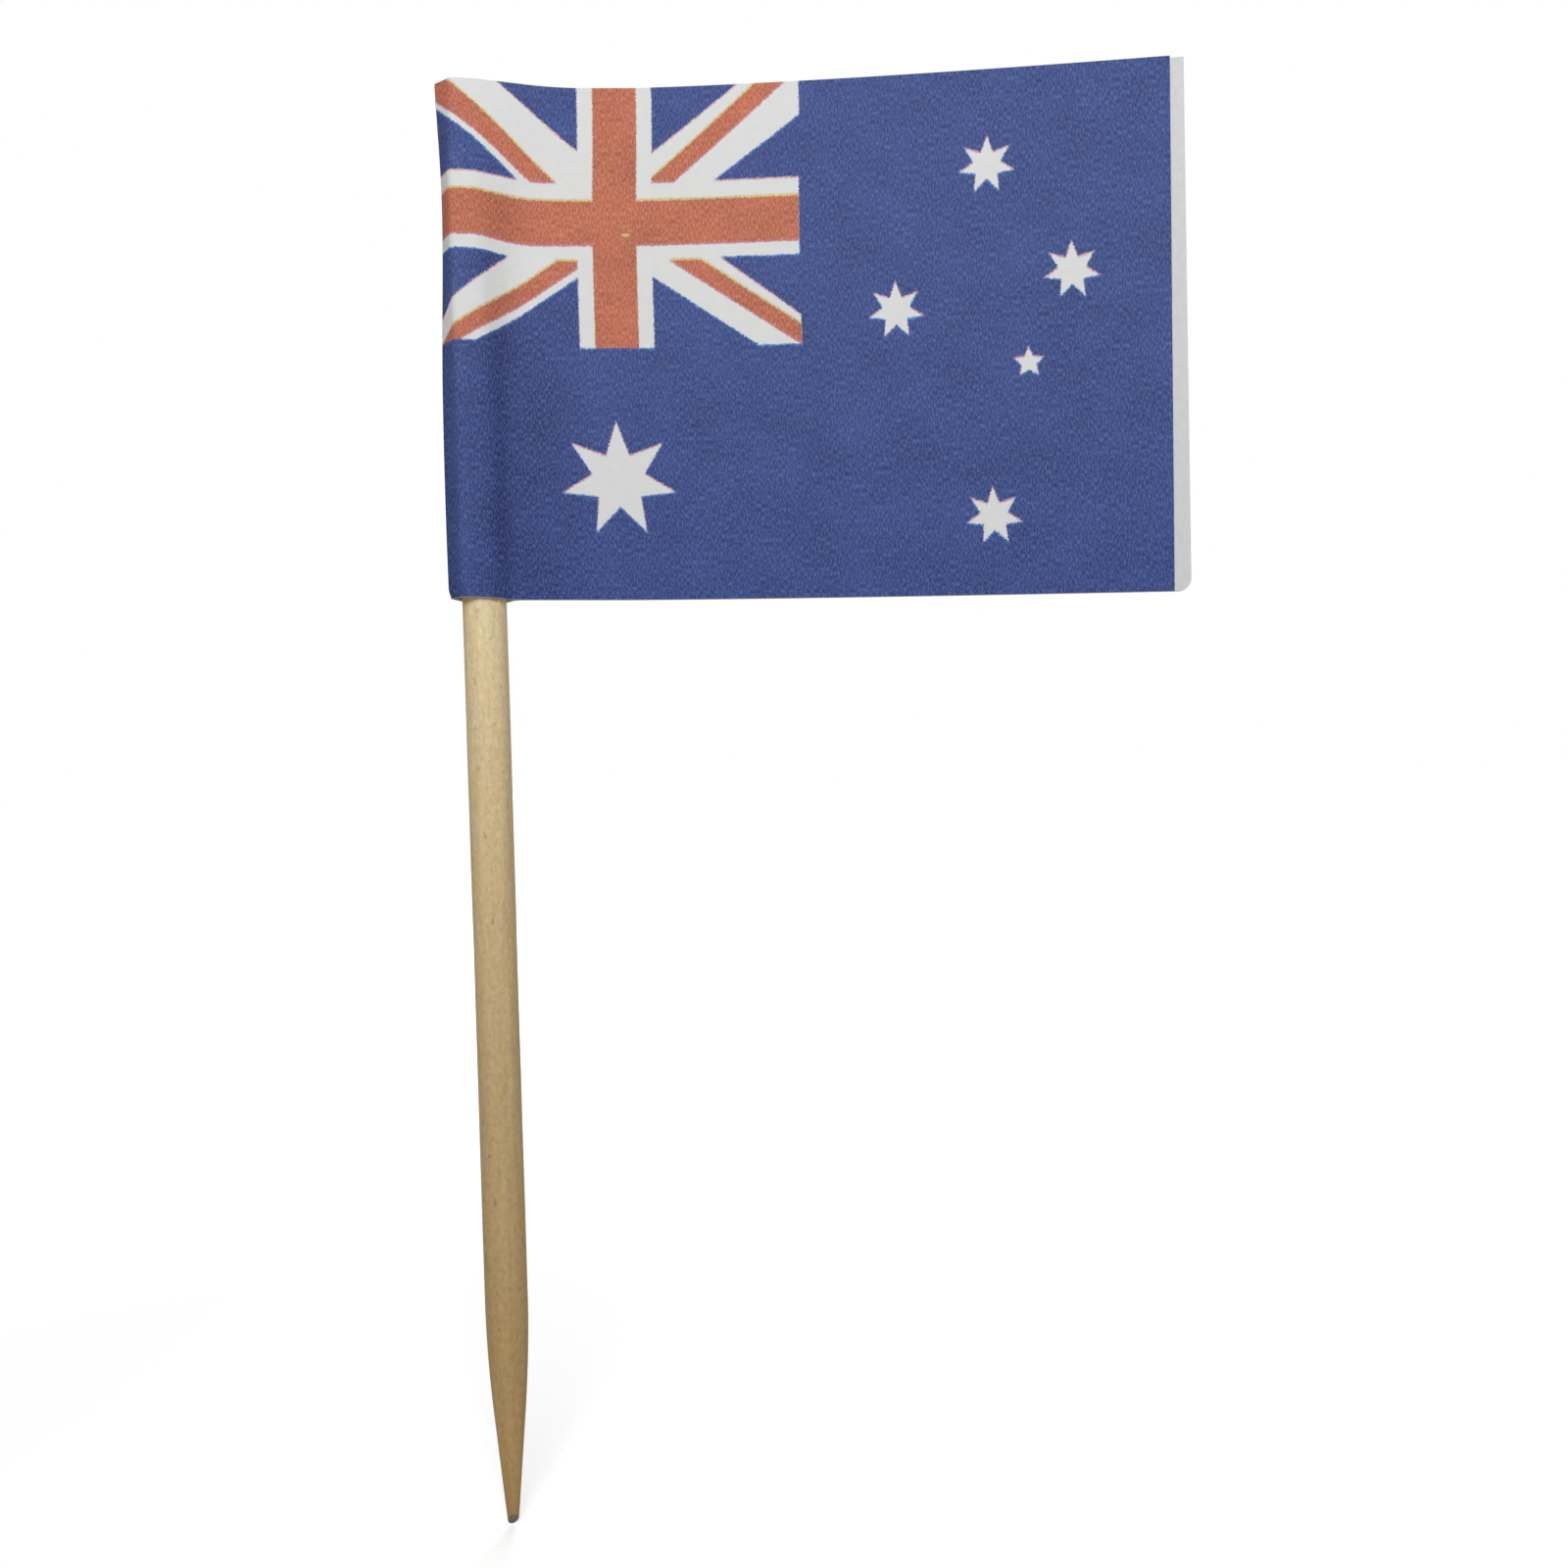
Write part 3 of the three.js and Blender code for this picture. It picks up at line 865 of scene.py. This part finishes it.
def pick_points():
    """The points of the stick's side, ring by ring from the tip, and how many rings there are."""
    edge = PICK_LENGTH - TOP_CHAMFER
    heights = [*TIP_ROWS, *np.arange(FIRST_PICK_ROW, edge, PICK_ROW)]
    heights += [edge, PICK_LENGTH - TOP_CHAMFER / 2, PICK_LENGTH]
    points = []
    for z in heights:
        radius = pick_radius(min(z, edge)) - max(z - edge, 0)
        for k in range(PICK_SIDES):
            angle = 2 * math.pi * k / PICK_SIDES
            x, y = math.cos(angle), math.sin(angle)
            r = radius - relief_at(x, y, z)
            points.append((r * x, r * y, z))
    return np.array(points), len(heights)


def cut_tip(points):
    """Lifts the points below a slanted plane that faces the viewer onto it, and says which they are."""
    forward = points[:, 0] * math.sin(TIP_CUT_TURN) - points[:, 1] * math.cos(TIP_CUT_TURN)
    cut_height = TIP_CUT_SLOPE * (TIP_RADIUS + forward)
    on_cut = points[:, 2] < cut_height
    points[on_cut, 2] = cut_height[on_cut]
    return on_cut


def wooden_pick():
    """The stick, with long fibres on its side and end grain on its slanted tip."""
    points, rows = pick_points()
    on_cut = cut_tip(points)
    faces = []
    kinds = []
    for j in range(rows - 1):
        for k in range(PICK_SIDES):
            a = j * PICK_SIDES + k
            b = j * PICK_SIDES + (k + 1) % PICK_SIDES
            face = (a, b, b + PICK_SIDES, a + PICK_SIDES)
            faces.append(face)
            kinds.append(int(on_cut[list(face)].all()))
    faces.append(tuple(range(PICK_SIDES - 1, -1, -1)))
    faces.append(tuple((rows - 1) * PICK_SIDES + k for k in range(PICK_SIDES)))
    kinds += [1, 0]
    piece = new_piece("wooden_pick", points * MM, faces, [wood(), end_grain()], kinds)
    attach(piece, "root")
    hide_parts("pick")


# Stage

def camera():
    """The photograph's viewpoint, square to the flag."""
    data = bpy.data.cameras.new("camera")
    data.sensor_width = SENSOR
    data.lens = SENSOR * FOCAL_PIXELS / PHOTO_PIXELS
    data.clip_start = CLIP_START
    eye = bpy.data.objects.new("camera", data)
    bpy.context.scene.collection.objects.link(eye)
    seen = FLAG_TO_PICK @ Matrix.Translation(EYE) @ Matrix.Rotation(math.pi / 2, 4, "X")
    seen.translation *= MM
    eye.matrix_world = seen
    bpy.context.scene.camera = eye


def lamp(name, place, target, size, power):
    """A round soft lamp. Its place, target and size are in metres and its power is in watts."""
    data = bpy.data.lights.new(name, "AREA")
    data.shape = "DISK"
    data.size = size
    data.energy = power
    light = bpy.data.objects.new(name, data)
    bpy.context.scene.collection.objects.link(light)
    light.location = place
    light.rotation_mode = "QUATERNION"
    light.rotation_quaternion = (Vector(target) - Vector(place)).to_track_quat("-Z", "Y")


def seen_share(graph):
    """1 where a ray comes from the eye or mirrors or passes to it, and 0 where it lights the object."""
    rays = graph.add("ShaderNodeLightPath").outputs
    return graph.most([rays["Is Camera Ray"], rays["Is Glossy Ray"], rays["Is Transmission Ray"]])


def surroundings():
    """White for the eye, and a plain pale grey light on the object."""
    world = bpy.data.worlds.new("surroundings")
    bpy.context.scene.world = world
    world.use_nodes = True
    graph = Graph(world.node_tree)
    background = world.node_tree.nodes["Background"]
    background.inputs["Color"].default_value = (1, 1, 1, 1)
    strength = graph.spread(seen_share(graph), 0.0, 1.0, WORLD_LIGHT, 1.0)
    graph.put(strength, background.inputs["Strength"])


def floor():
    """A pale floor at the tip. Its own light makes it white for the eye, and it keeps the shadow."""
    mesh = bpy.data.meshes.new("floor")
    corners = [(x * FLOOR_HALF, y * FLOOR_HALF, 0) for x, y in ((-1, -1), (1, -1), (1, 1), (-1, 1))]
    mesh.from_pydata(corners, [], [(0, 1, 2, 3)])
    material, graph, shader = new_material("pale_floor")
    shader.inputs["Base Color"].default_value = FLOOR_GREY
    shader.inputs["Roughness"].default_value = FLOOR_ROUGHNESS
    shader.inputs["Emission Color"].default_value = (1, 1, 1, 1)
    place = graph.add("ShaderNodeTexCoord").outputs["Object"]
    glow = graph.spread(graph.vector("LENGTH", place), *GLOW_DISTANCES, *GLOW_STRENGTHS)
    graph.put(graph.math("MULTIPLY", seen_share(graph), glow), shader.inputs["Emission Strength"])
    mesh.materials.append(material)
    piece = bpy.data.objects.new("floor", mesh)
    bpy.context.scene.collection.objects.link(piece)
    piece.location.z = -FLOOR_DROP * MM


camera()
surroundings()
lamp("key", place=(0.012, -0.12, 0.125), target=(0.012, 0, 0.058), size=0.08, power=0.153)
lamp("rear", place=(0.03, 0.22, 0.12), target=(0.015, 0, 0.05), size=0.2, power=0.33)
floor()
glue = adhesive()
wooden_pick()
paper_flag()
glue_film(glue)
for node in ("pick_glue_front", "pick_glue_back"):
    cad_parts[node].material_slots[0].material = glue

bpy.context.scene.view_settings.view_transform = "Standard"
